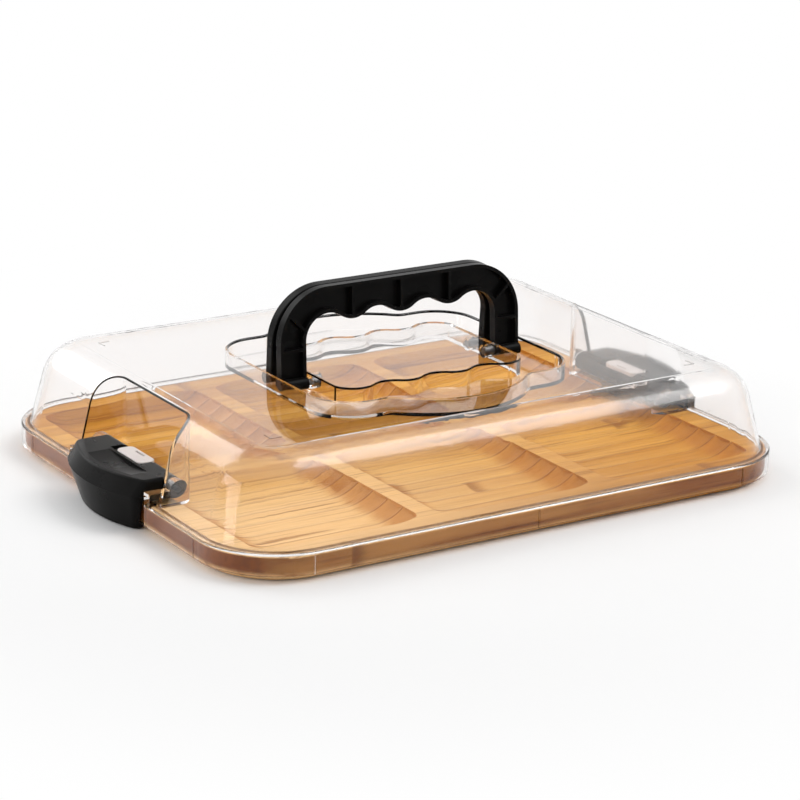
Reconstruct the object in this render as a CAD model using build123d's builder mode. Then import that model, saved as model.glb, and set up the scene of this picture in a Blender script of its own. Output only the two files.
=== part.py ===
# Bamboo cheese tray with a clear cover, a folding carry handle and two side latches.
# Millimetres, +Z up. The origin is the centre of the tray's underside, X runs along the length.
from build123d import *
import math
import os

os.makedirs("parts", exist_ok=True)

# Tray board
tray_length = 376.0
tray_width = 302.0
tray_thickness = 16.0
tray_corner = 46.0
tray_top_round = 1.5
tray_foot_round = 9.0

# Serving wells, each a set of hollow flutes that run along X and climb at both ends
well_columns = 3
well_rows = 2
well_margin_x = 19.0
well_margin_y = 17.0
well_divider = 11.5
well_bar = 20.0
well_corner = 12.0
well_depth = 9.0
well_bank = 6.0
well_scoop = 30.0
flute_count = 7
flute_sag = 1.6

# Cover
cover_wall = 1.8
skirt_clearance = 0.4
skirt_bottom = 5.0
skirt_round = 1.0
cover_height = 66.2
ledge_width = 5.2
dome_lean_x = 12.0
dome_lean_y = 14.5
dome_foot_corner = 43.0
dome_top_corner = 30.0
dome_round = 24.0

# Trough in the cover's top, which the folded handle lies in, and the island that it surrounds
trough_length = 169.0
trough_width = 139.0
trough_corner = 24.0
trough_depth = 10.0
trough_round = 1.2
finger_bay_reach = 21.0
finger_bay_chord = 94.0
finger_bay_round = 10.0
island_gap = 0.8
island_side_gap = 1.5

# Handle, two halves that stand together and fold outwards
handle_length = 166.0
handle_leg = 17.0
handle_thickness = 6.0
handle_reach = 55.6
handle_corner = 32.0
handle_edge_round = 0.8
handle_web = 1.8
handle_rim = 2.2
handle_rib = 1.8
handle_rib_angle = 45.0
finger_pitch = 33.6
finger_wave = 5.5
grip_depth = 15.8
pivot_spread = 8.8
pivot_drop = 6.0
pivot_offset = 5.5
pivot_boss = 3.6
handle_meeting_gap = 0.22
pin_diameter = 4.0
pin_grip = 7.0
pin_reach = 10.0
pin_boss_wall = 2.0
running_clearance = 0.05

# Side latches
latch_length = 84.4
latch_axis_inset = 17.0
latch_axis_z = 24.5
latch_barrel = 6.0
latch_seam_z = 22.0
latch_top_z = 31.0
latch_bottom_z = 0.8
latch_overhang = 18.0
latch_bow = 89.0
latch_top_draw = 5.5
latch_bottom_draw = 7.0
latch_underside = 19.2
latch_wall = 2.4
latch_edge_round = 2.0
latch_corner = 5.0
jaw_gap = 2.0
jaw_hook = 1.0
jaw_slope = 3.0
jaw_tip = 1.4
thumb_dish_radius = 150.0
thumb_dish_depth = 1.8
thumb_dish_shift = -6.0
dish_inset = 2.0

# Latch hinge in the cover
niche_half = 49.5
niche_depth = 27.0
niche_corner = 13.0
notch_half = 43.0
cheek_top = 25.0
hinge_pin_diameter = 3.0
hinge_pin_reach = 4.5

# Lock slider on each latch
slider_length = 30.0
slider_width = 11.0
slider_height = 2.4
slider_floor = 29.0
slider_setback = 3.5
slider_travel = 5.0
slider_clearance = 0.3
slider_end_round = 4.0
slider_edge_round = 0.6
stem_length = 8.0
stem_width = 3.0
stem_neck = 1.1
foot_width = 5.4
foot_height = 0.8
thumb_slot_length = 10.0
thumb_slot_width = 1.6
thumb_slot_inset = 2.8
thumb_slot_depth = 1.2

# Latch screws
screw_diameter = 2.6
screw_head = 5.0
screw_head_height = 1.6
screw_spacing = 24.0
screw_overhang = 5.6
screw_engagement = 5.0
screw_boss_wall = 2.2
screw_recess = 1.0

# Small marks on the cover
mark_inset_x = 46.2
mark_inset_y = 50.2
mark_leg = 6.5
mark_stroke = 0.8
mark_height = 0.3
tick_inset_x = 45.2
tick_inset_y = 53.2
tick_height = 11.0

# Heights and places that follow
ledge_top = tray_thickness + cover_wall
cover_length = tray_length + 2 * (cover_wall + skirt_clearance)
cover_width = tray_width + 2 * (cover_wall + skirt_clearance)
cover_corner = tray_corner + cover_wall + skirt_clearance
dome_foot_length = cover_length - 2 * ledge_width
dome_foot_width = cover_width - 2 * ledge_width
dome_top_length = dome_foot_length - 2 * dome_lean_x
dome_top_width = dome_foot_width - 2 * dome_lean_y
dome_rise = cover_height - ledge_top
dome_slope = math.atan2((dome_lean_x + dome_lean_y) / 2, dome_rise)
dome_inset = cover_wall * (1 - math.sin(dome_slope)) / math.cos(dome_slope)
trough_floor = cover_height - trough_depth
pivot_z = cover_height - pivot_drop
pin_radius = pin_diameter / 2
handle_lean = math.degrees(
    math.asin((pivot_spread - pivot_offset - handle_meeting_gap) / handle_reach)
)
leg_inner_x = handle_length / 2 - handle_leg
valley_y = handle_reach - grip_depth
bump_y = valley_y - finger_wave
island_half_x = leg_inner_x - island_side_gap
well_length = (
    tray_length - 2 * well_margin_x - (well_columns - 1) * well_divider
) / well_columns
well_width = (
    tray_width - 2 * well_margin_y - (well_rows - 1) * well_bar
) / well_rows
well_pitch_x = well_length + well_divider
well_pitch_y = well_width + well_bar
well_floor = tray_thickness - well_depth
latch_axis_x = tray_length / 2 - latch_axis_inset
latch_reach = tray_length / 2 + latch_overhang
niche_wall_x = tray_length / 2 - niche_depth
slider_inner_x = latch_axis_x - slider_setback
screw_x = tray_length / 2 + screw_overhang
mark_x = cover_length / 2 - mark_inset_x
mark_y = cover_width / 2 - mark_inset_y
tick_front_x = cover_length / 2 - tick_inset_x
tick_side_y = cover_width / 2 - tick_inset_y
overshoot = 10.0
pick_margin = 1.0


def finish(piece, name):
    """Label a finished piece and write its file."""
    piece.part.label = name
    export_step(piece.part, f"parts/{name}.step")


def rounded_prism(length, width, corner, bottom, top):
    """Upright prism on a rounded rectangle, centred on Z."""
    with BuildPart() as prism:
        with BuildSketch(Plane.XY.offset(bottom)):
            RectangleRounded(length, width, corner)
        extrude(amount=top - bottom)
    return prism.part


# Tray: one board, cut with six fluted wells

def well_section(center_y):
    """Cross section of one well: banked sides and a floor of shallow hollow flutes."""
    half = well_width / 2
    floor_half = half - well_bank
    pitch = 2 * floor_half / flute_count
    crest = well_floor + flute_sag
    lid = well_floor + well_scoop
    with BuildSketch(Plane.YZ) as section:
        with BuildLine():
            for flute in range(flute_count):
                start = center_y - floor_half + flute * pitch
                ThreePointArc(
                    (start, crest),
                    (start + pitch / 2, well_floor),
                    (start + pitch, crest),
                )
            Polyline(
                (center_y + floor_half, crest),
                (center_y + half, tray_thickness),
                (center_y + half, lid),
                (center_y - half, lid),
                (center_y - half, tray_thickness),
                (center_y - floor_half, crest),
            )
        make_face()
    return section.sketch


def well_cutter(center_x, center_y):
    """Solid that a well removes: straight flutes whose crests climb to a straight edge at each end."""
    crest_scoop = well_scoop - flute_sag
    crest_centre = well_scoop - well_depth
    end_run = math.sqrt(crest_scoop**2 - crest_centre**2)
    straight_half = well_length / 2 - end_run
    section = well_section(center_y)
    with BuildPart() as flutes:
        extrude(section.moved(Location((center_x - straight_half, 0, 0))), amount=2 * straight_half)
        for side in (-1, 1):
            end_x = center_x + side * straight_half
            axis = Axis((end_x, 0, well_floor + well_scoop), (0, -side, 0))
            revolve(section.moved(Location((end_x, 0, 0))), axis=axis, revolution_arc=90)
        with BuildSketch(Plane.XY):
            with Locations((center_x, center_y)):
                RectangleRounded(well_length, well_width, well_corner)
        extrude(amount=tray_thickness + overshoot, mode=Mode.INTERSECT)
    return flutes.part


with BuildPart() as tray_board:
    with BuildSketch():
        RectangleRounded(tray_length, tray_width, tray_corner)
    extrude(amount=tray_thickness)
    fillet(tray_board.faces().sort_by(Axis.Z)[0].edges(), radius=tray_foot_round)
    fillet(tray_board.faces().sort_by(Axis.Z)[-1].edges(), radius=tray_top_round)
    for column in range(well_columns):
        for row in range(well_rows):
            well_x = (column - (well_columns - 1) / 2) * well_pitch_x
            well_y = (row - (well_rows - 1) / 2) * well_pitch_y
            add(well_cutter(well_x, well_y), mode=Mode.SUBTRACT)
finish(tray_board, "tray_board")


# Handle outlines, drawn in the handle's own plane with the pivot line at y = 0

def grip_opening():
    """Outline of the space under the grip, with a wave for four fingers on its upper edge."""
    half_pitch = finger_pitch / 2
    middle_y = (bump_y + valley_y) / 2
    outer_valley = 1.5 * finger_pitch
    corner = leg_inner_x - outer_valley
    corner_mid = corner * math.sqrt(0.5)
    with BuildSketch() as opening:
        with BuildLine():
            for step in range(5):
                crest_x = (step - 2) * half_pitch
                crest_y = bump_y if step % 2 == 0 else valley_y
                ThreePointArc(
                    (crest_x - half_pitch / 2, middle_y),
                    (crest_x, crest_y),
                    (crest_x + half_pitch / 2, middle_y),
                )
            for side in (-1, 1):
                inner_end = side * (outer_valley - half_pitch / 2)
                inner_mid = side * (outer_valley - half_pitch / 4)
                ThreePointArc(
                    (inner_end, middle_y),
                    (inner_mid, valley_y - finger_wave / 8),
                    (side * outer_valley, valley_y),
                )
                ThreePointArc(
                    (side * outer_valley, valley_y),
                    (side * (outer_valley + corner_mid), valley_y - corner + corner_mid),
                    (side * leg_inner_x, valley_y - corner),
                )
                Line((side * leg_inner_x, valley_y - corner), (side * leg_inner_x, -overshoot))
            Line((-leg_inner_x, -overshoot), (leg_inner_x, -overshoot))
        make_face()
    return opening.sketch


def handle_outline():
    """Arch of one handle half: two legs, rounded shoulders and the waved grip."""
    half = handle_length / 2
    foot = -pivot_boss / 2
    with BuildSketch() as outline:
        with BuildLine():
            Polyline((-half, handle_reach), (-half, foot), (half, foot), (half, handle_reach), close=True)
        make_face()
        fillet(outline.vertices().group_by(Axis.Y)[-1], radius=handle_corner)
        add(grip_opening(), mode=Mode.SUBTRACT)
    return outline.sketch


def handle_plane(side):
    """Plane of one half: its x along the handle, its y up the leaning leg, its z outwards."""
    lean = math.radians(handle_lean)
    return Plane(
        origin=(0, side * pivot_spread, pivot_z),
        x_dir=(-side, 0, 0),
        z_dir=(0, side * math.cos(lean), math.sin(lean)),
    )


outline = handle_outline()
opening = grip_opening()


# Cover: a thin shell with a skirt, a sloping dome, a trough with an island and two side niches

def dome_solid(inset, bottom, top, round_radius):
    """Sloping dome between two rounded rectangles, inset from the outer faces."""
    with BuildPart() as dome:
        with BuildSketch(Plane.XY.offset(bottom)):
            RectangleRounded(
                dome_foot_length - 2 * inset, dome_foot_width - 2 * inset, dome_foot_corner - inset
            )
        with BuildSketch(Plane.XY.offset(top)):
            RectangleRounded(
                dome_top_length - 2 * inset, dome_top_width - 2 * inset, dome_top_corner - inset
            )
        loft(ruled=True)
        fillet(dome.faces().sort_by(Axis.Z)[-1].edges(), radius=round_radius)
    return dome.part


def trough_outline(grow):
    """Racetrack plan of the trough, with a finger bay at the front and at the back."""
    half_chord = finger_bay_chord / 2
    bay_radius = (half_chord**2 + finger_bay_reach**2) / (2 * finger_bay_reach)
    bay_center = trough_width / 2 + finger_bay_reach - bay_radius
    with BuildSketch() as plan:
        RectangleRounded(trough_length, trough_width, trough_corner)
        with Locations((0, bay_center), (0, -bay_center)):
            Circle(bay_radius)
        inner = [
            v
            for v in plan.vertices()
            if abs(v.X) < half_chord + pick_margin and abs(v.Y) > trough_width / 2 - pick_margin
        ]
        fillet(inner, radius=finger_bay_round)
        offset(amount=grow)
    return plan.sketch


def island_outline(shrink):
    """Plan of the island, which follows the inner edge of the folded handle."""
    with BuildSketch() as plan:
        Rectangle(2 * island_half_x, 2 * pivot_spread)
        for side in (-1, 1):
            folded = opening.mirror(Plane.XZ) if side < 0 else opening
            placed = folded.moved(Location((0, side * pivot_spread, 0)))
            add(offset(placed, amount=-island_gap, mode=Mode.PRIVATE))
        Rectangle(2 * island_half_x, 2 * (handle_reach + pivot_spread), mode=Mode.INTERSECT)
        if shrink > 0:
            offset(amount=-shrink)
    return plan.sketch


def niche_plan(side, grow):
    """Plan of a side niche, open outwards, with rounded inner corners."""
    reach = cover_length / 2
    with BuildSketch() as plan:
        with Locations((side * (niche_wall_x - grow + reach / 2), 0)):
            Rectangle(reach, 2 * (niche_half + grow))
        fillet(plan.vertices().sort_by(lambda v: abs(v.X))[:2], radius=niche_corner + grow)
    return plan.sketch


def cheek_plan(side):
    """Side view of the cheek that carries the latch pin, from the niche wall to the skirt."""
    outer = cover_length / 2
    with BuildSketch(Plane.XZ) as plan:
        with BuildLine():
            Polyline(
                (side * niche_wall_x, tray_thickness),
                (side * niche_wall_x, cheek_top),
                (side * outer, cheek_top),
                (side * outer, skirt_bottom),
                (side * (outer - cover_wall), skirt_bottom),
                (side * (outer - cover_wall), tray_thickness),
                close=True,
            )
        make_face()
        with Locations((side * latch_axis_x, latch_axis_z)):
            Circle(latch_barrel)
    return plan.sketch


def latch_cheek(side, end):
    """Cheek at one end of a latch, trimmed to the outside of the niche's wall."""
    cheek = cheek_plan(side).moved(Location((0, end * notch_half, 0)))
    with BuildPart() as block:
        extrude(cheek, amount=-end * (niche_half - notch_half))
        extrude(niche_plan(side, cover_wall), amount=cover_height, mode=Mode.INTERSECT)
    return block.part


def niche_skin(side):
    """Block inside the dome that leaves the niche its own thin walls."""
    plan = niche_plan(side, cover_wall).moved(Location((0, 0, tray_thickness)))
    with BuildPart() as skin:
        add(dome_outer)
        extrude(plan, amount=cover_height, mode=Mode.INTERSECT)
    return skin.part


dome_outer = dome_solid(0, ledge_top, cover_height, dome_round)
dome_inner = dome_solid(
    dome_inset, tray_thickness, cover_height - cover_wall, dome_round - cover_wall
)
tray_room = rounded_prism(
    tray_length + 2 * skirt_clearance,
    tray_width + 2 * skirt_clearance,
    tray_corner + skirt_clearance,
    skirt_bottom,
    tray_thickness,
)

with BuildPart() as cover_shell:
    add(rounded_prism(cover_length, cover_width, cover_corner, skirt_bottom, ledge_top))
    fillet(cover_shell.faces().sort_by(Axis.Z)[-1].edges(), radius=skirt_round)
    add(dome_outer)
    add(tray_room, mode=Mode.SUBTRACT)
    add(dome_inner, mode=Mode.SUBTRACT)
    # Trough, let into the top with walls of its own, and the hollow island that stands in it
    with BuildSketch(Plane.XY.offset(trough_floor - cover_wall)):
        add(trough_outline(cover_wall))
    extrude(amount=trough_depth)
    with BuildSketch(Plane.XY.offset(trough_floor)):
        add(trough_outline(0))
        add(island_outline(0), mode=Mode.SUBTRACT)
    extrude(amount=trough_depth, mode=Mode.SUBTRACT)
    with BuildSketch(Plane.XY.offset(trough_floor - cover_wall)):
        add(island_outline(cover_wall))
    extrude(amount=trough_depth, mode=Mode.SUBTRACT)
    top_face = cover_shell.faces().filter_by(Axis.Z).group_by(Axis.Z)[-1]
    rim_edges = [e for f in top_face for w in f.inner_wires() for e in w.edges()]
    fillet(rim_edges, radius=trough_round)
    # Bosses inside the island that hold the handle's four pivot pins
    boss_radius = pin_radius + pin_boss_wall
    for side in (-1, 1):
        for end in (-1, 1):
            boss_plane = Plane.YZ.offset(end * (island_half_x - pin_grip))
            with BuildSketch(boss_plane):
                with Locations((side * pivot_spread, pivot_z)):
                    Circle(boss_radius)
            extrude(amount=end * (pin_grip - cover_wall / 2))
            with BuildSketch(boss_plane):
                with Locations((side * pivot_spread, pivot_z)):
                    Circle(pin_radius)
            extrude(amount=end * overshoot, mode=Mode.SUBTRACT)
    # Niches and the notches that let the latches pass the skirt
    for side in (-1, 1):
        add(niche_skin(side))
        niche_cut = niche_plan(side, 0).moved(Location((0, 0, ledge_top)))
        extrude(niche_cut, amount=cover_height, mode=Mode.SUBTRACT)
        notch_start = side * (tray_length / 2 + skirt_clearance)
        with BuildSketch(Plane.YZ.offset(notch_start)):
            Rectangle(2 * notch_half, 2 * (cover_height + overshoot))
        extrude(amount=side * overshoot, mode=Mode.SUBTRACT)
    # Cheeks beside each latch, with blind seats for the ends of its pin
    for side in (-1, 1):
        for end in (-1, 1):
            add(latch_cheek(side, end))
            with BuildSketch(Plane.XZ.offset(-end * (notch_half - overshoot))):
                with Locations((side * latch_axis_x, latch_axis_z)):
                    Circle(hinge_pin_diameter / 2)
            extrude(amount=-end * (overshoot + hinge_pin_reach), mode=Mode.SUBTRACT)
    # Corner marks on the top and short ticks on the skirt
    with BuildSketch(Plane.XY.offset(cover_height - mark_stroke / 2)):
        for mark_side in (-1, 1):
            for mark_end in (-1, 1):
                with Locations((mark_side * (mark_x - mark_leg / 2), mark_end * mark_y)):
                    Rectangle(mark_leg, mark_stroke)
                with Locations((mark_side * mark_x, mark_end * (mark_y - mark_leg / 2))):
                    Rectangle(mark_stroke, mark_leg + mark_stroke)
    extrude(amount=mark_stroke / 2 + mark_height)
    tick_z = skirt_bottom + tick_height / 2
    with Locations(
        *[
            (tick_x, end * cover_width / 2, tick_z)
            for tick_x in (-tick_front_x, 0, tick_front_x)
            for end in (-1, 1)
        ],
        *[
            (end * cover_length / 2, side * tick_side_y, tick_z)
            for side in (-1, 1)
            for end in (-1, 1)
        ],
    ):
        Box(mark_stroke, mark_stroke, tick_height)
finish(cover_shell, "cover_shell")


# Handle halves: black channels, open outwards, with ribs

def rib_lines():
    """Ribs left standing in the hollow of a handle half."""
    half = handle_length / 2
    shoulder_y = valley_y - finger_pitch / 2
    leg_x = half - handle_leg / 2
    corner_y = (shoulder_y + handle_reach) / 2
    with BuildSketch() as ribs:
        with Locations(*[(step * finger_pitch, handle_reach) for step in (-1, 0, 1)]):
            Rectangle(handle_rib, 2 * (handle_reach - bump_y + handle_rim))
        for side in (-1, 1):
            with Locations((side * leg_x, valley_y / 2)):
                Rectangle(handle_leg, handle_rib)
            with Locations(Location((side * leg_x, corner_y, 0), -side * handle_rib_angle)):
                Rectangle(handle_rib, handle_reach)
    return ribs.sketch


def handle_half(side):
    """One half of the handle, standing on its pivot line."""
    plane = handle_plane(side)
    inner_face = plane.offset(-pivot_offset)
    web_face = inner_face.offset(handle_web)
    with BuildPart() as half:
        with BuildSketch(inner_face):
            add(outline)
        extrude(amount=handle_thickness)
        fillet(half.faces().sort_by(Axis.Y)[0 if side > 0 else -1].edges(), radius=handle_edge_round)
        with BuildSketch(web_face):
            add(offset(outline, amount=-handle_rim, mode=Mode.PRIVATE))
            add(rib_lines(), mode=Mode.SUBTRACT)
        extrude(amount=handle_thickness, mode=Mode.SUBTRACT)
        # Pivot bosses on the feet, with blind seats for the pins
        for end in (-1, 1):
            boss_plane = Plane.YZ.offset(end * leg_inner_x)
            with BuildSketch(boss_plane):
                with Locations((side * pivot_spread, pivot_z)):
                    Circle(pivot_boss)
            extrude(amount=end * handle_leg)
            with BuildSketch(boss_plane):
                with Locations((side * pivot_spread, pivot_z)):
                    Circle(pin_radius + running_clearance)
            extrude(amount=end * pin_reach, mode=Mode.SUBTRACT)
    return half


def handle_pins(side):
    """Two pins that carry one half, pressed into the island."""
    with BuildPart() as pins:
        for end in (-1, 1):
            with BuildSketch(Plane.YZ.offset(end * (island_half_x - pin_grip))):
                with Locations((side * pivot_spread, pivot_z)):
                    Circle(pin_radius)
            extrude(amount=end * (pin_grip + leg_inner_x - island_half_x + pin_reach - slider_clearance))
    return pins


for side, place in ((-1, "front"), (1, "rear")):
    finish(handle_half(side), f"handle_{place}")
    finish(handle_pins(side), f"handle_{place}_pins")


# Side latches: a cap with the hinge barrel, a jaw that hooks under the tray, and a lock slider

bow_x = latch_reach - latch_bow
latch_half = latch_length / 2
jaw_inner_x = tray_length / 2 + jaw_gap
hook_x = tray_length / 2 - jaw_hook
hook_top = latch_bottom_z + jaw_tip
slider_outer_x = slider_inner_x + slider_width
slider_x = slider_inner_x + slider_width / 2
foot_top = slider_floor - stem_neck
screw_seat_z = latch_bottom_z + screw_recess + screw_head_height
screw_places = (-screw_spacing / 2, screw_spacing / 2)


def latch_plan(side, z, draw, end_draw):
    """Plan of a latch at one height: bowed outwards, with soft corners at the bow's ends."""
    with BuildSketch(Plane.XY.offset(z)) as plan:
        with Locations((side * bow_x, 0)):
            Circle(latch_bow - draw)
        with Locations((side * (latch_axis_x + latch_bow), 0)):
            Rectangle(2 * latch_bow, 2 * (latch_half - end_draw), mode=Mode.INTERSECT)
        fillet(plan.vertices().sort_by(lambda v: abs(v.X))[-2:], radius=latch_corner)
    return plan.sketch


def bowed_body(side, start, end, draw, end_draw, inset):
    """Latch body that narrows from its start height to its end height."""
    start_plan = latch_plan(side, start, inset, inset)
    end_plan = latch_plan(side, end, draw + inset, end_draw + inset)
    with BuildPart() as body:
        loft([start_plan, end_plan], ruled=True)
    return body.part


def side_section(side, points, half_length):
    """Bar along Y whose cross section is given by distance outwards and height."""
    with BuildPart() as bar:
        with BuildSketch(Plane.XZ):
            with BuildLine():
                Polyline(*[(side * x, z) for x, z in points], close=True)
            make_face()
        extrude(amount=half_length, both=True)
    return bar.part


def box_between(side, x_range, y_range, z_range):
    """Block between limits, with x counted outwards."""
    sizes = [high - low for low, high in (x_range, y_range, z_range)]
    with BuildPart() as block:
        middle = [(low + high) / 2 for low, high in (x_range, y_range, z_range)]
        with Locations((side * middle[0], middle[1], middle[2])):
            Box(*sizes)
    return block.part


def bar_along_y(side, x, z, radius, start, end):
    """Round bar along Y at a distance outwards and a height."""
    with BuildPart() as bar:
        with BuildSketch(Plane.XZ.offset(-start)):
            with Locations((side * x, z)):
                Circle(radius)
        extrude(amount=start - end)
    return bar.part


def cap_body(side, inset):
    """Bowed outer form of the cap."""
    return bowed_body(side, latch_seam_z, latch_top_z, latch_top_draw, 0, inset)


def jaw_body(side, inset):
    """Bowed outer form of the jaw, whose ends lean in as well."""
    return bowed_body(side, latch_seam_z, latch_bottom_z, latch_bottom_draw, latch_bottom_draw, inset)


def thumb_dish(side):
    """Shallow dish between the lock slider and the bowed rim of the cap."""
    dish_start = slider_outer_x + dish_inset
    with BuildPart() as dish:
        with BuildSketch(Plane.YZ.offset(side * dish_start)):
            with Locations((thumb_dish_shift, latch_top_z - thumb_dish_depth + thumb_dish_radius)):
                Circle(thumb_dish_radius)
        extrude(amount=side * latch_reach)
        add(cap_body(side, 2 * dish_inset), mode=Mode.INTERSECT)
    return dish.part


def latch_cap(side):
    """Upper piece of a latch: top plate, bowed band and hinge barrel."""
    beyond = latch_reach + overshoot
    with BuildPart() as cap:
        add(
            side_section(
                side,
                (
                    (latch_axis_x, latch_top_z),
                    (beyond, latch_top_z),
                    (beyond, latch_seam_z),
                    (latch_axis_x, latch_seam_z),
                ),
                latch_half,
            )
        )
        add(cap_body(side, 0), mode=Mode.INTERSECT)
        top_edges = cap.faces().sort_by(Axis.Z)[-1].edges()
        outer_edges = [e for e in top_edges if abs(e.center().X) > latch_axis_x + pick_margin]
        fillet(outer_edges, radius=latch_edge_round)
        add(
            side_section(
                side,
                (
                    (latch_axis_x, latch_seam_z),
                    (jaw_inner_x, latch_seam_z),
                    (jaw_inner_x, latch_underside),
                    (latch_axis_x, latch_underside),
                ),
                latch_half,
            )
        )
        add(bar_along_y(side, latch_axis_x, latch_axis_z, latch_barrel, -latch_half, latch_half))
        add(thumb_dish(side), mode=Mode.SUBTRACT)
        # Bore for the hinge pin
        add(
            bar_along_y(
                side,
                latch_axis_x,
                latch_axis_z,
                hinge_pin_diameter / 2 + running_clearance,
                -latch_half - overshoot,
                latch_half + overshoot,
            ),
            mode=Mode.SUBTRACT,
        )
        # Track for the lock slider: an open pocket, and a slot with a wider groove below it
        slider_end = slider_length / 2 + slider_clearance
        add(
            box_between(
                side,
                (latch_axis_x - latch_barrel - overshoot, slider_outer_x + slider_clearance),
                (-slider_end, slider_end + slider_travel),
                (slider_floor, latch_top_z + overshoot),
            ),
            mode=Mode.SUBTRACT,
        )
        stem_end = stem_length / 2 + slider_clearance
        for width, low, high in (
            (stem_width, foot_top, slider_floor),
            (foot_width, foot_top - foot_height - slider_clearance, foot_top + slider_clearance),
        ):
            half = width / 2 + slider_clearance
            add(
                box_between(
                    side,
                    (slider_x - half, slider_x + half),
                    (-stem_end, stem_end + slider_travel),
                    (low, high),
                ),
                mode=Mode.SUBTRACT,
            )
        # Blind holes for the two screws
        with BuildSketch(Plane.XY.offset(latch_seam_z)):
            with Locations(*[(side * screw_x, y) for y in screw_places]):
                Circle(screw_diameter / 2)
        extrude(amount=screw_engagement, mode=Mode.SUBTRACT)
    return cap


def jaw_hollow(side):
    """Hollow inside the jaw, closed by the cap."""
    floor_z = latch_bottom_z + latch_wall
    beyond = latch_reach + overshoot
    inner_x = jaw_inner_x + latch_wall
    points = ((inner_x, latch_seam_z), (beyond, latch_seam_z), (beyond, floor_z), (inner_x, floor_z))
    with BuildPart() as hollow:
        add(side_section(side, points, latch_half))
        add(jaw_body(side, latch_wall), mode=Mode.INTERSECT)
    return hollow.part


def latch_jaw(side):
    """Lower piece of a latch, with the lip that catches under the tray's rounded edge."""
    beyond = latch_reach + overshoot
    with BuildPart() as jaw:
        add(
            side_section(
                side,
                (
                    (hook_x, latch_bottom_z),
                    (hook_x, hook_top),
                    (jaw_inner_x, hook_top + jaw_slope),
                    (jaw_inner_x, latch_seam_z),
                    (beyond, latch_seam_z),
                    (beyond, latch_bottom_z),
                ),
                latch_half,
            )
        )
        add(jaw_body(side, 0), mode=Mode.INTERSECT)
        add(jaw_hollow(side), mode=Mode.SUBTRACT)
        floor_plane = Plane.XY.offset(latch_bottom_z)
        with BuildSketch(Plane.XY.offset(latch_bottom_z + latch_wall)):
            with Locations(*[(side * screw_x, y) for y in screw_places]):
                Circle(screw_diameter / 2 + screw_boss_wall)
        extrude(amount=latch_seam_z - latch_bottom_z - latch_wall)
        for radius, height in (
            (screw_head / 2 + slider_clearance, screw_recess + screw_head_height),
            (screw_diameter / 2 + running_clearance, latch_seam_z),
        ):
            with BuildSketch(floor_plane):
                with Locations(*[(side * screw_x, y) for y in screw_places]):
                    Circle(radius)
            extrude(amount=height, mode=Mode.SUBTRACT)
    return jaw


def latch_screws(side):
    """Two screws, driven from below through the jaw into the cap."""
    with BuildPart() as screws:
        for radius, low, high in (
            (screw_head / 2, screw_seat_z - screw_head_height, screw_seat_z),
            (screw_diameter / 2, screw_seat_z, latch_seam_z + screw_engagement),
        ):
            with BuildSketch(Plane.XY.offset(low)):
                with Locations(*[(side * screw_x, y) for y in screw_places]):
                    Circle(radius)
            extrude(amount=high - low)
    return screws


def lock_slider(side):
    """Thumb plate with a T-shaped foot that runs in the cap's groove."""
    with BuildPart() as slider:
        with BuildSketch(Plane.XY.offset(slider_floor)):
            with Locations((side * slider_x, 0)):
                RectangleRounded(slider_width, slider_length, slider_end_round)
        extrude(amount=slider_height)
        fillet(slider.faces().sort_by(Axis.Z)[-1].edges(), radius=slider_edge_round)
        with BuildSketch(Plane.XY.offset(slider_floor + slider_height)):
            with Locations((side * (slider_inner_x + thumb_slot_inset), 0)):
                Rectangle(thumb_slot_width, thumb_slot_length)
        extrude(amount=-thumb_slot_depth, mode=Mode.SUBTRACT)
        for width, low, high in (
            (stem_width, foot_top, slider_floor),
            (foot_width, foot_top - foot_height, foot_top),
        ):
            with BuildSketch(Plane.XY.offset(low)):
                with Locations((side * slider_x, 0)):
                    Rectangle(width, stem_length)
            extrude(amount=high - low)
    return slider


def hinge_pin(side):
    """Steel pin that the latch turns on, held in the cover's two cheeks."""
    reach = notch_half + hinge_pin_reach
    with BuildPart() as pin:
        add(bar_along_y(side, latch_axis_x, latch_axis_z, hinge_pin_diameter / 2, -reach, reach))
    return pin


for side, place in ((-1, "left"), (1, "right")):
    finish(latch_cap(side), f"latch_{place}_cap")
    finish(latch_jaw(side), f"latch_{place}_jaw")
    finish(latch_screws(side), f"latch_{place}_screws")
    finish(lock_slider(side), f"latch_{place}_lock_slider")
    finish(hinge_pin(side), f"latch_{place}_hinge_pin")
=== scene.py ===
import math

import bpy
from mathutils import Matrix, Vector

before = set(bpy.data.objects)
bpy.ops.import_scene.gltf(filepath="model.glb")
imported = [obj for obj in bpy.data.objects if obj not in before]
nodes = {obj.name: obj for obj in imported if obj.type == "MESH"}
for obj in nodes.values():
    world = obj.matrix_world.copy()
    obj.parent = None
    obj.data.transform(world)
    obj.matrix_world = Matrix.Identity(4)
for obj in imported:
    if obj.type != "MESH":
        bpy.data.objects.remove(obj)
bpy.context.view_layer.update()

print("frame loaded:", len(nodes), "nodes")


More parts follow.
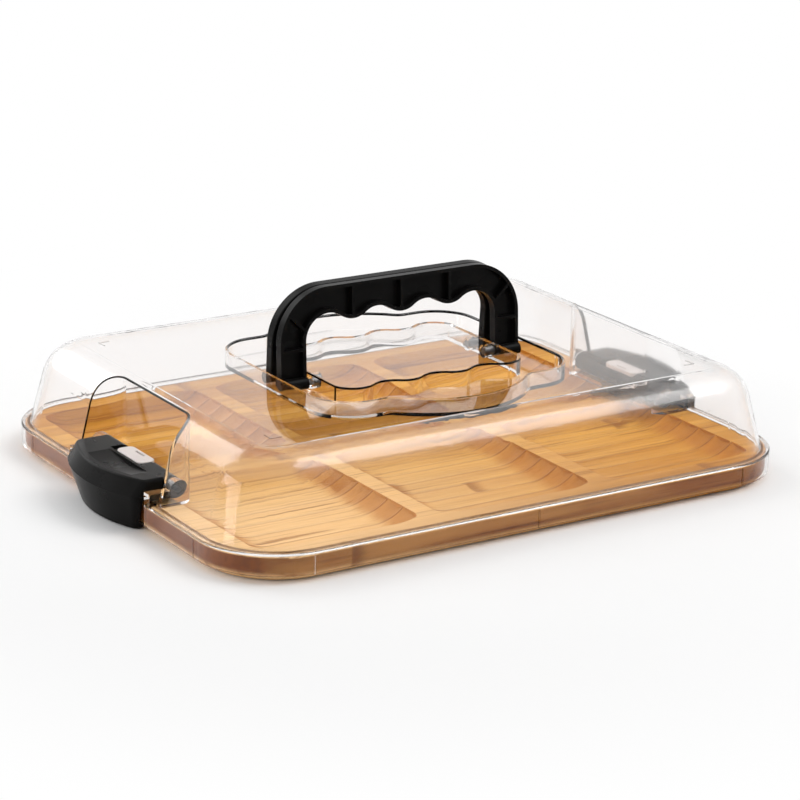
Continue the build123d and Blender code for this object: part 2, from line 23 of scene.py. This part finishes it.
class Wire:
    # an output socket of a node tree; sums, products and the like on wires add Math nodes
    def __init__(self, tree, socket=None):
        self.tree = tree
        self.socket = socket

    def make(self, nodeType, settings=None, values=None, output=0):
        node = self.tree.nodes.new(nodeType)
        for name, setting in (settings or {}).items():
            setattr(node, name, setting)
        for name, value in (values or {}).items():
            if isinstance(value, Wire):
                self.tree.links.new(value.socket, node.inputs[name])
            else:
                node.inputs[name].default_value = value
        return Wire(self.tree, node.outputs[output])

    def math(self, operation, first, second=0.0, third=0.0):
        values = {0: first, 1: second, 2: third}
        return self.make("ShaderNodeMath", {"operation": operation}, values)

    def __add__(self, other):
        return self.math("ADD", self, other)

    __radd__ = __add__

    def __sub__(self, other):
        return self.math("SUBTRACT", self, other)

    def __rsub__(self, other):
        return self.math("SUBTRACT", other, self)

    def __mul__(self, other):
        return self.math("MULTIPLY", self, other)

    __rmul__ = __mul__

    def __truediv__(self, other):
        return self.math("DIVIDE", self, other)

    def power(self, exponent):
        return self.math("POWER", self, exponent)

    def absolute(self):
        return self.math("ABSOLUTE", self)

    def larger(self, other):
        return self.math("MAXIMUM", self, other)

    def floor(self):
        return self.math("FLOOR", self)

    def fract(self):
        return self.math("FRACT", self)

    def step(self, low, high):  # 0 below low, 1 above high, smooth between
        values = {"Value": self, "From Min": low, "From Max": high}
        settings = {"interpolation_type": "SMOOTHSTEP", "clamp": True}
        return self.make("ShaderNodeMapRange", settings, values)

    def axes(self):
        node = self.make("ShaderNodeSeparateXYZ", {}, {"Vector": self}).socket.node
        return [Wire(self.tree, socket) for socket in node.outputs]

    def stretched(self, scale):
        values = {0: self, 1: scale}
        return self.make("ShaderNodeVectorMath", {"operation": "MULTIPLY"}, values)

    def noise(self, scale=1.0, detail=2.0, roughness=0.5):
        values = {"Vector": self, "Scale": scale, "Detail": detail, "Roughness": roughness}
        return self.make("ShaderNodeTexNoise", {}, values)

    def whiteNoise(self):  # one random number for each whole value
        return self.make("ShaderNodeTexWhiteNoise", {"noise_dimensions": "1D"}, {"W": self})

    def mixed(self, factor, first, second, blend="MIX"):
        settings = {"data_type": "RGBA", "blend_type": blend}
        return self.make("ShaderNodeMix", settings, {0: factor, 6: first, 7: second}, output=2)

    def bumped(self, height, strength, distance):
        values = {"Height": height, "Strength": strength, "Distance": distance}
        return self.make("ShaderNodeBump", {}, values)


def newMaterial(name):
    material = bpy.data.materials.new(name)
    material.use_nodes = True
    tree = material.node_tree
    tree.nodes.clear()
    return material, Wire(tree)


def plainColor(red, green, blue):
    return (red, green, blue, 1.0)


def objectPlace(wire):
    return wire.make("ShaderNodeTexCoord", {}, {}, output="Object")


def surfaceNormal(wire):
    return wire.make("ShaderNodeNewGeometry", {}, {}, output="Normal")


def outputTo(wire, shader, nodeType="ShaderNodeOutputMaterial"):
    node = wire.tree.nodes.new(nodeType)
    wire.tree.links.new(shader.socket, node.inputs["Surface"])


def dress(names, material):
    for name in names:
        nodes[name].data.materials.clear()
        nodes[name].data.materials.append(material)


# Bamboo: glued strips that run along X, made of narrow slats, with fine fibres, dashes and knots
bamboo = {
    "stripWidth": 0.0186,
    "slatWidth": 0.0062,
    "slatSeed": 31.7,
    "wobble": 0.0008,
    "wobbleScale": (3.0, 7.0, 7.0),
    "fibreScale": (16.0, 1300.0, 900.0),
    "grainScale": (9.0, 420.0, 260.0),
    "broadScale": (6.0, 95.0, 60.0),
    "cloudScale": (9.0, 26.0, 26.0),
    "poreScale": 1500.0,
    "poreRange": (0.50, 0.66),
    "seam": (0.476, 0.5),
    "knotSpacing": 0.31,
    "knotSpread": 7.3,
    "knotStart": (0.0, 0.006),
    "knotEnd": (0.010, 0.040),
    "stripTone": 0.50,
    "slatTone": 0.26,
    "broadTone": 0.60,
    "cloudTone": 0.35,
    "toneRange": (0.45, 1.20),
    "honey": plainColor(0.60, 0.305, 0.055),
    "amber": plainColor(0.42, 0.172, 0.018),
    # dark grain streaks, also used for painted shade in the wells
    "streakAndShade": plainColor(0.210, 0.064, 0.010),
    # painted reflection: pale cream mixed into the front left of the top
    "paintedReflectionColor": plainColor(0.84, 0.590, 0.320),
    "paintedReflectionShare": 0.68,
    "paintedReflectionX": (-0.17, 0.16),
    "paintedReflectionY": (-0.07, 0.03),
    "dashGrain": (0.54, 0.66),
    "dashPlace": (0.42, 0.60),
    "dashShare": 0.75,
    "lineFibre": (0.48, 0.72),
    "lineShare": 0.22,
    "seamShare": 0.50,
    "knotShare": 0.60,
    "roughness": 0.40,
    "grainRoughness": 0.18,
    "shine": 0.12,
    "fibreRelief": 0.5,
    "grainRelief": 0.5,
    "seamRelief": 0.6,
    "poreRelief": 0.5,
    "relief": 0.30,
    "reliefDepth": 0.0004,
}

# Wells: porous end grain where the flutes climb, and painted shade as a dark line along each crest
wells = {
    "row": 0.072,
    "fluteStart": 0.056,
    "flutePitch": 0.016,
    "rim": (0.0152, 0.0158),
    "climb": (0.04, 0.42),
    "crest": (0.455, 0.498),
    "endPores": plainColor(0.46, 0.168, 0.024),
    "endShare": 0.62,
    "poreShare": 0.42,
    "crestShare": 0.42,
    "climbCrestShadeShare": 0.45,
    "shade": 0.26,
}

# Outer sides of the board, browner than its top: partly their own colour, partly painted shade
boardSide = {
    "cornerX": 0.142,
    "cornerY": 0.105,
    "edge": (0.036, 0.0445),
    "steep": (0.25, 0.85),
    "brownAndShade": plainColor(0.280, 0.088, 0.018),
    "gold": plainColor(0.54, 0.255, 0.075),
    "dark": plainColor(0.120, 0.030, 0.006),
    "grainTone": 0.8,
    "toneRange": (0.66, 0.98),
    "broadGold": 0.7,
    "cloudGold": 0.6,
    "goldRange": (0.55, 0.80),
    "goldShare": 0.80,
    "endDarkness": 0.45,
    "endPores": 0.40,
}


def makeBamboo():
    material, wire = newMaterial("bamboo")
    place = objectPlace(wire)
    x, y, z = place.axes()
    acrossStrips = y + place.stretched(bamboo["wobbleScale"]).noise() * bamboo["wobble"]
    lane = acrossStrips / bamboo["stripWidth"]
    seam = (lane.fract() - 0.5).absolute().step(*bamboo["seam"])
    stripTone = lane.floor().whiteNoise()
    slatTone = ((acrossStrips / bamboo["slatWidth"]).floor() + bamboo["slatSeed"]).whiteNoise()
    fibre = place.stretched(bamboo["fibreScale"]).noise(detail=3.0, roughness=0.6)
    grain = place.stretched(bamboo["grainScale"]).noise(detail=4.0, roughness=0.62)
    broad = place.stretched(bamboo["broadScale"]).noise(detail=3.0)
    cloud = place.stretched(bamboo["cloudScale"]).noise(detail=3.0)

    # upper face: warm strips, paler towards the front left through a painted reflection, with dark
    # dashes, fine lines and knots
    tone = stripTone * bamboo["stripTone"] + slatTone * bamboo["slatTone"]
    tone = tone + broad * bamboo["broadTone"] + cloud * bamboo["cloudTone"]
    warmth = tone.step(*bamboo["toneRange"])
    color = wire.mixed(warmth, bamboo["honey"], bamboo["amber"])
    # painted reflection: the front left is mixed towards pale cream
    paintedReflection = (1.0 - x.step(*bamboo["paintedReflectionX"])) * (1.0 - y.step(*bamboo["paintedReflectionY"]))
    color = wire.mixed(paintedReflection * bamboo["paintedReflectionShare"], color, bamboo["paintedReflectionColor"])
    dashes = grain.step(*bamboo["dashGrain"]) * broad.step(*bamboo["dashPlace"])
    fineLines = fibre.step(*bamboo["lineFibre"])
    darkness = dashes * bamboo["dashShare"] + fineLines * bamboo["lineShare"]
    color = wire.mixed(darkness, color, bamboo["streakAndShade"])
    color = wire.mixed(seam * bamboo["seamShare"], color, bamboo["streakAndShade"])
    knot = (x / bamboo["knotSpacing"] + stripTone * bamboo["knotSpread"]).fract()
    knotLine = knot.step(*bamboo["knotStart"]) * (1.0 - knot.step(*bamboo["knotEnd"]))
    color = wire.mixed(knotLine * bamboo["knotShare"], color, bamboo["streakAndShade"])

    # wells: darker porous ends, crest lines of painted shade, and painted shade that deepens
    # across each flute's end
    facing = [part.absolute() for part in surfaceNormal(wire).axes()]
    overX = (x.absolute() - boardSide["cornerX"]).larger(0.0)
    overY = (y.absolute() - boardSide["cornerY"]).larger(0.0)
    outer = (overX * overX + overY * overY).power(0.5).step(*boardSide["edge"])
    inner = 1.0 - outer
    pores = place.noise(bamboo["poreScale"], roughness=0.7).step(*bamboo["poreRange"])
    flute = ((y.absolute() - wells["row"] + wells["fluteStart"]) / wells["flutePitch"]).fract()
    cut = 1.0 - z.step(*wells["rim"])
    climb = facing[0].step(*wells["climb"]) * inner
    # painted shade: a dark line along each flute crest, stronger where the flute climbs
    crest = (flute - 0.5).absolute().step(*wells["crest"]) * cut * inner
    color = wire.mixed(climb * wells["endShare"], color, wells["endPores"])
    color = wire.mixed(climb * pores * wells["poreShare"], color, bamboo["streakAndShade"])
    crestShare = wells["crestShare"] + climb * wells["climbCrestShadeShare"]
    fluteShade = flute * climb * wells["shade"]
    color = wire.mixed(crest * crestShare + fluteShade, color, bamboo["streakAndShade"])

    # outer sides: their own colour with painted shade over it, grain along the front and rear,
    # dark pores at both ends
    sideTone = ((grain + fibre) * boardSide["grainTone"]).step(*boardSide["toneRange"])
    sideColorAndShade = wire.mixed(sideTone, boardSide["brownAndShade"], boardSide["dark"])
    goldTone = broad * boardSide["broadGold"] + cloud * boardSide["cloudGold"]
    gold = goldTone.step(*boardSide["goldRange"]) * facing[1]
    sideColorAndShade = wire.mixed(gold * boardSide["goldShare"], sideColorAndShade, boardSide["gold"])
    endShare = facing[0] * (boardSide["endDarkness"] + pores * boardSide["endPores"])
    sideColorAndShade = wire.mixed(endShare, sideColorAndShade, boardSide["dark"])
    sideColorAndShade = wire.mixed(knotLine * bamboo["knotShare"], sideColorAndShade, boardSide["dark"])
    # steep outer faces take the side colour, which is partly painted shade
    steep = (1.0 - facing[2]).step(*boardSide["steep"])
    color = wire.mixed(steep * outer, color, sideColorAndShade)

    height = fibre * bamboo["fibreRelief"] + grain * bamboo["grainRelief"]
    height = height - seam * bamboo["seamRelief"] - climb * pores * bamboo["poreRelief"]
    shader = wire.make(
        "ShaderNodeBsdfPrincipled",
        {},
        {
            "Base Color": color,
            "Roughness": bamboo["roughness"] + grain * bamboo["grainRoughness"],
            "Specular IOR Level": bamboo["shine"],
            "Normal": wire.bumped(height, bamboo["relief"], bamboo["reliefDepth"]),
        },
    )
    outputTo(wire, shader)
    return material


# Clear plastic: refracting shell that lets light fall through, greyer where it is seen edge on
clearPlastic = {
    "tint": plainColor(0.992, 0.982, 0.977),
    "edgeTint": plainColor(0.70, 0.65, 0.63),
    "edgeBlend": 0.5,
    "edgePower": 5.0,
    "mirrorTint": plainColor(0.50, 0.50, 0.50),
    "shadowTint": plainColor(0.94, 0.93, 0.92),
    "ior": 1.34,
    "roughness": 0.012,
    "smearScale": 60.0,
    "smearRange": (0.45, 0.8),
    "smears": 0.02,
    "waveScale": 18.0,
    "waves": 0.03,
    "waveDepth": 0.002,
    "satin": 0.035,
    "satinX": (0.07, 0.15),
    "satinZ": (0.052, 0.066),
    "pocketX": (0.156, 0.159),
    "pocketY": (0.048, 0.054),
    "ledge": 0.16,
    "ledgeFoot": (0.0150, 0.0162),
    "ledgeTop": (0.0181, 0.0186),
    "bendStart": (0.35, 0.65),
    "bendEnd": (0.90, 0.99),
    "bendZ": (0.040, 0.052),
    "bendHaze": 0.05,
    "bendShine": 0.7,
    "bendSoftness": 0.24,
}


def makeClearPlastic():
    material, wire = newMaterial("clearPlastic")
    place = objectPlace(wire)
    x, y, z = place.axes()
    up = surfaceNormal(wire).axes()[2]
    waves = place.noise(clearPlastic["waveScale"], detail=1.0)
    smears = place.noise(clearPlastic["smearScale"], detail=4.0).step(*clearPlastic["smearRange"])
    blend = {"Blend": clearPlastic["edgeBlend"]}
    facing = wire.make("ShaderNodeLayerWeight", {}, blend, output="Facing")
    grazing = facing.power(clearPlastic["edgePower"])

    # rougher where the dome bends over, at its far end, in the far niche and along the ledge
    turned = up.step(*clearPlastic["bendStart"]) * (1.0 - up.step(*clearPlastic["bendEnd"]))
    bend = turned * z.step(*clearPlastic["bendZ"])
    pocket = x.step(*clearPlastic["pocketX"]) * (1.0 - y.absolute().step(*clearPlastic["pocketY"]))
    satin = (z.step(*clearPlastic["satinZ"]) * x.step(*clearPlastic["satinX"])).larger(pocket)
    ledge = z.step(*clearPlastic["ledgeFoot"]) * (1.0 - z.step(*clearPlastic["ledgeTop"]))
    roughness = clearPlastic["roughness"] + smears * clearPlastic["smears"]
    roughness = roughness + bend * clearPlastic["bendHaze"] + satin * clearPlastic["satin"]
    roughness = roughness + ledge * clearPlastic["ledge"]
    solid = wire.make(
        "ShaderNodeBsdfPrincipled",
        {},
        {
            "Base Color": wire.mixed(grazing, clearPlastic["tint"], clearPlastic["edgeTint"]),
            "Roughness": roughness,
            "IOR": clearPlastic["ior"],
            "Specular Tint": clearPlastic["mirrorTint"],
            "Transmission Weight": 1.0,
            "Coat Weight": bend * clearPlastic["bendShine"],
            "Coat Roughness": clearPlastic["bendSoftness"],
            "Normal": wire.bumped(waves, clearPlastic["waves"], clearPlastic["waveDepth"]),
        },
    )
    through = wire.make("ShaderNodeBsdfTransparent", {}, {"Color": clearPlastic["shadowTint"]})
    isShadow = wire.make("ShaderNodeLightPath", {}, {}, output="Is Shadow Ray")
    shader = wire.make("ShaderNodeMixShader", {}, {0: isShadow, 1: solid, 2: through})
    outputTo(wire, shader)
    return material


# Moulded plastic: soft gloss with a fine skin texture
mould = {
    "skinScale": 2600.0,
    "skinDepth": 0.0002,
    "cloudScale": 45.0,
    "cloudRange": (0.35, 0.75),
    "lighterShare": 0.35,
    "cloudRoughness": 0.08,
}
blackPlastic = {
    "color": plainColor(0.0050, 0.0047, 0.0045),
    "lighter": plainColor(0.0115, 0.0110, 0.0107),
    "roughness": 0.24,
    "shine": 0.05,
    "skin": 0.04,
}
greyPlastic = {
    "color": plainColor(0.64, 0.58, 0.56),
    "lighter": plainColor(0.80, 0.76, 0.74),
    "roughness": 0.32,
    "shine": 0.4,
    "skin": 0.05,
}


def makeMoulded(name, plastic):
    material, wire = newMaterial(name)
    place = objectPlace(wire)
    skin = place.noise(mould["skinScale"])
    cloud = place.noise(mould["cloudScale"], detail=3.0)
    lighterShare = cloud.step(*mould["cloudRange"]) * mould["lighterShare"]
    shader = wire.make(
        "ShaderNodeBsdfPrincipled",
        {},
        {
            "Base Color": wire.mixed(lighterShare, plastic["color"], plastic["lighter"]),
            "Roughness": plastic["roughness"] + cloud * mould["cloudRoughness"],
            "Specular IOR Level": plastic["shine"],
            "Normal": wire.bumped(skin, plastic["skin"], mould["skinDepth"]),
        },
    )
    outputTo(wire, shader)
    return material


# Steel of pins and screws: fine drawn lines
steel = {
    "dark": plainColor(0.10, 0.10, 0.10),
    "light": plainColor(0.20, 0.20, 0.205),
    "lineScale": (60.0, 60.0, 2400.0),
    "roughness": 0.25,
    "lineRoughness": 0.15,
    "relief": 0.1,
    "reliefDepth": 0.0001,
}


def makeSteel():
    material, wire = newMaterial("drawnSteel")
    lines = objectPlace(wire).stretched(steel["lineScale"]).noise(detail=3.0)
    shader = wire.make(
        "ShaderNodeBsdfPrincipled",
        {},
        {
            "Base Color": wire.mixed(lines, steel["dark"], steel["light"]),
            "Metallic": 1.0,
            "Roughness": steel["roughness"] + lines * steel["lineRoughness"],
            "Normal": wire.bumped(lines, steel["relief"], steel["reliefDepth"]),
        },
    )
    outputTo(wire, shader)
    return material


def named(*ends):
    return [name for name in nodes if name.endswith(ends)]


dress(["tray_board"], makeBamboo())
dress(["cover_shell"], makeClearPlastic())
dress(named("_cap", "_jaw", "_front", "_rear"), makeMoulded("blackPlastic", blackPlastic))
dress(named("_slider"), makeMoulded("greyPlastic", greyPlastic))
dress(named("_pin", "_pins", "_screws"), makeSteel())
print("materials ready")


# Floor and studio light: the floor carries the shadow near the tray and is plain white further out
studio = {
    "floorSize": 12.0,
    "floorColor": plainColor(0.95, 0.95, 0.95),
    "shadowFade": (0.27, 0.50),
    "worldStrength": 0.54,
    "white": plainColor(1.0, 1.0, 1.0),
}


def seenDirectly(wire):  # 1 for rays from the camera, in a mirror or through the clear cover
    path = wire.make("ShaderNodeLightPath", {}, {}).socket.node
    names = ("Is Camera Ray", "Is Glossy Ray", "Is Transmission Ray")
    camera, glossy, transmitted = [Wire(wire.tree, path.outputs[name]) for name in names]
    return camera.larger(glossy).larger(transmitted)


def makeFloor():
    bpy.ops.mesh.primitive_plane_add(size=studio["floorSize"], location=(0, 0, 0))
    floor = bpy.context.object
    floor.name = "studioFloor"
    material, wire = newMaterial("studioFloor")
    x, y, z = objectPlace(wire).axes()
    far = (x * x + y * y).power(0.5).step(*studio["shadowFade"])
    diffuse = wire.make("ShaderNodeBsdfDiffuse", {}, {"Color": studio["floorColor"]})
    glow = wire.make("ShaderNodeEmission", {}, {"Color": studio["white"], "Strength": 1.0})
    values = {0: far * seenDirectly(wire), 1: diffuse, 2: glow}
    outputTo(wire, wire.make("ShaderNodeMixShader", {}, values))
    floor.data.materials.append(material)


def makeWorld():
    world = bpy.data.worlds.new("studioWorld")
    world.use_nodes = True
    bpy.context.scene.world = world
    world.node_tree.nodes.clear()
    wire = Wire(world.node_tree)
    strength = studio["worldStrength"]
    light = wire.make("ShaderNodeBackground", {}, {"Color": studio["white"], "Strength": strength})
    white = wire.make("ShaderNodeBackground", {}, {"Color": studio["white"], "Strength": 1.0})
    values = {0: seenDirectly(wire), 1: light, 2: white}
    outputTo(wire, wire.make("ShaderNodeMixShader", {}, values), "ShaderNodeOutputWorld")


# name: place, width and height in metres, and watts; each lamp points at the tray
lamps = {
    "softboxKey": ((0.80, -0.48, 1.28), (0.80, 0.80), 9),
    "softboxRim": ((-0.51, 1.36, 0.87), (1.00, 1.00), 7),
    "softboxTop": ((0.30, 0.40, 2.00), (1.60, 1.60), 3),
    "softboxLeft": ((-1.55, 0.50, 0.32), (1.20, 0.50), 9),
}
lampTarget = Vector((0, 0, 0.03))


def makeLamps():
    for name, (place, size, watts) in lamps.items():
        light = bpy.data.lights.new(name, "AREA")
        light.shape = "RECTANGLE"
        light.size, light.size_y = size
        light.energy = watts
        lamp = bpy.data.objects.new(name, light)
        lamp.location = place
        lamp.rotation_euler = (lampTarget - Vector(place)).to_track_quat("-Z", "Y").to_euler()
        bpy.context.scene.collection.objects.link(lamp)


makeFloor()
makeWorld()
makeLamps()


# Camera, solved from the photograph
camera = {
    "focalPixels": 2840.73,
    "imagePixels": 800,
    "sensor": 36.0,
    "distance": 1.69009,
    "azimuth": -32.69,
    "elevation": 17.71,
    "roll": 1.18,
    "target": (-0.00178, -0.00965, 0.04),
    "clip": (0.05, 50.0),
}


def makeCamera():
    azimuth = math.radians(camera["azimuth"])
    elevation = math.radians(camera["elevation"])
    roll = math.radians(camera["roll"])
    backX = math.sin(azimuth) * math.cos(elevation)
    backY = -math.cos(azimuth) * math.cos(elevation)
    back = Vector((backX, backY, math.sin(elevation)))
    right = (-back).cross(Vector((0, 0, 1))).normalized()
    up = right.cross(-back)
    turnedRight = right * math.cos(roll) + up * math.sin(roll)
    turnedUp = up * math.cos(roll) - right * math.sin(roll)
    place = Vector(camera["target"]) + back * camera["distance"]
    data = bpy.data.cameras.new("photoCamera")
    data.sensor_width = camera["sensor"]
    data.lens = camera["focalPixels"] * camera["sensor"] / camera["imagePixels"]
    data.clip_start, data.clip_end = camera["clip"]
    photoCamera = bpy.data.objects.new("photoCamera", data)
    matrix = Matrix((turnedRight, turnedUp, back)).transposed().to_4x4()
    matrix.translation = place
    photoCamera.matrix_world = matrix
    bpy.context.scene.collection.objects.link(photoCamera)
    bpy.context.scene.camera = photoCamera


makeCamera()
bpy.context.scene.view_settings.view_transform = "Standard"
print("studio ready")
